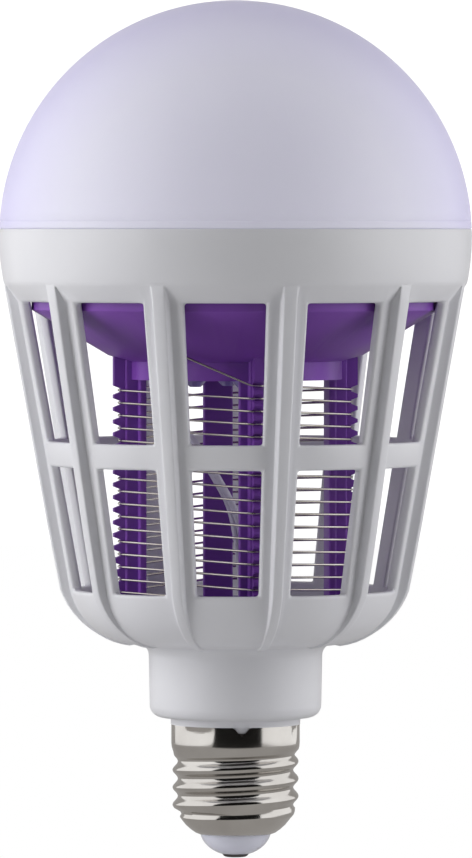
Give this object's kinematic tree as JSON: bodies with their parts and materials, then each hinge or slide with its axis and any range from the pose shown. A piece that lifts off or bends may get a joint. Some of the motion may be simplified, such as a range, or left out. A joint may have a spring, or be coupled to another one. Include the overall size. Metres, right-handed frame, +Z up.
{
  "type": "insect killer light bulb",
  "caption": "Screw-in light bulb with a milky globe over a white ribbed cage, inside which wires wound on purple comb posts make a high-voltage insect grid.",
  "frame": {"origin": "centre of the flat face of the centre contact, at the lamp's lowest point as it is screwed upright into a holder", "axes": "+Z up the lamp's axis from the contact to the globe; -Y is the side that the picture shows"},
  "size_m": [0.0984, 0.0984, 0.1785],
  "materials": {
    "milky_diffuser": "satin milky polycarbonate",
    "white_housing": "satin white moulding",
    "purple_frame": "semi-gloss deep purple moulding",
    "grid_wire": "drawn bright wire",
    "lead_insulation": "soft pale insulation",
    "nickel_cap": "rolled nickel-plated sheet",
    "cap_glass": "white vitreous insulator",
    "contact_metal": "worn solder-grey metal",
    "led_substrate": "white-masked aluminium",
    "led_phosphor": "yellow phosphor",
    "uv_lens": "clear violet lens",
    "circuit_board": "green laminate",
    "black_component": "moulded black",
    "film_case": "dipped red-brown",
    "ceramic_coat": "blue dipped ceramic",
    "resistor_coat": "green cement coat",
    "screw_steel": "zinc-plated steel"
  },
  "bodies": {
    "root": {"dome_diffuser": "milky_diffuser", "cage_housing": "white_housing", "grid_frame": "purple_frame", "grid_base": "purple_frame", "grid_wire_a": "grid_wire", "grid_wire_b": "grid_wire", "mains_lead_live": "lead_insulation", "mains_lead_neutral": "lead_insulation", "screw_shell": "nickel_cap", "cap_insulator": "cap_glass", "centre_contact": "contact_metal", "led_plate": "led_substrate", "white_leds": "led_phosphor", "led_plate_screws": "screw_steel", "driver_board": "circuit_board", "driver_board_screws": "screw_steel", "bulk_capacitor": "black_component", "film_capacitor": "film_case", "bridge_rectifier": "black_component", "drum_choke": "black_component", "fusible_resistor": "resistor_coat", "multiplier_capacitors": "ceramic_coat", "multiplier_diodes": "black_component", "uv_board": "circuit_board", "uv_leds": "uv_lens"}
  },
  "joints": []
}
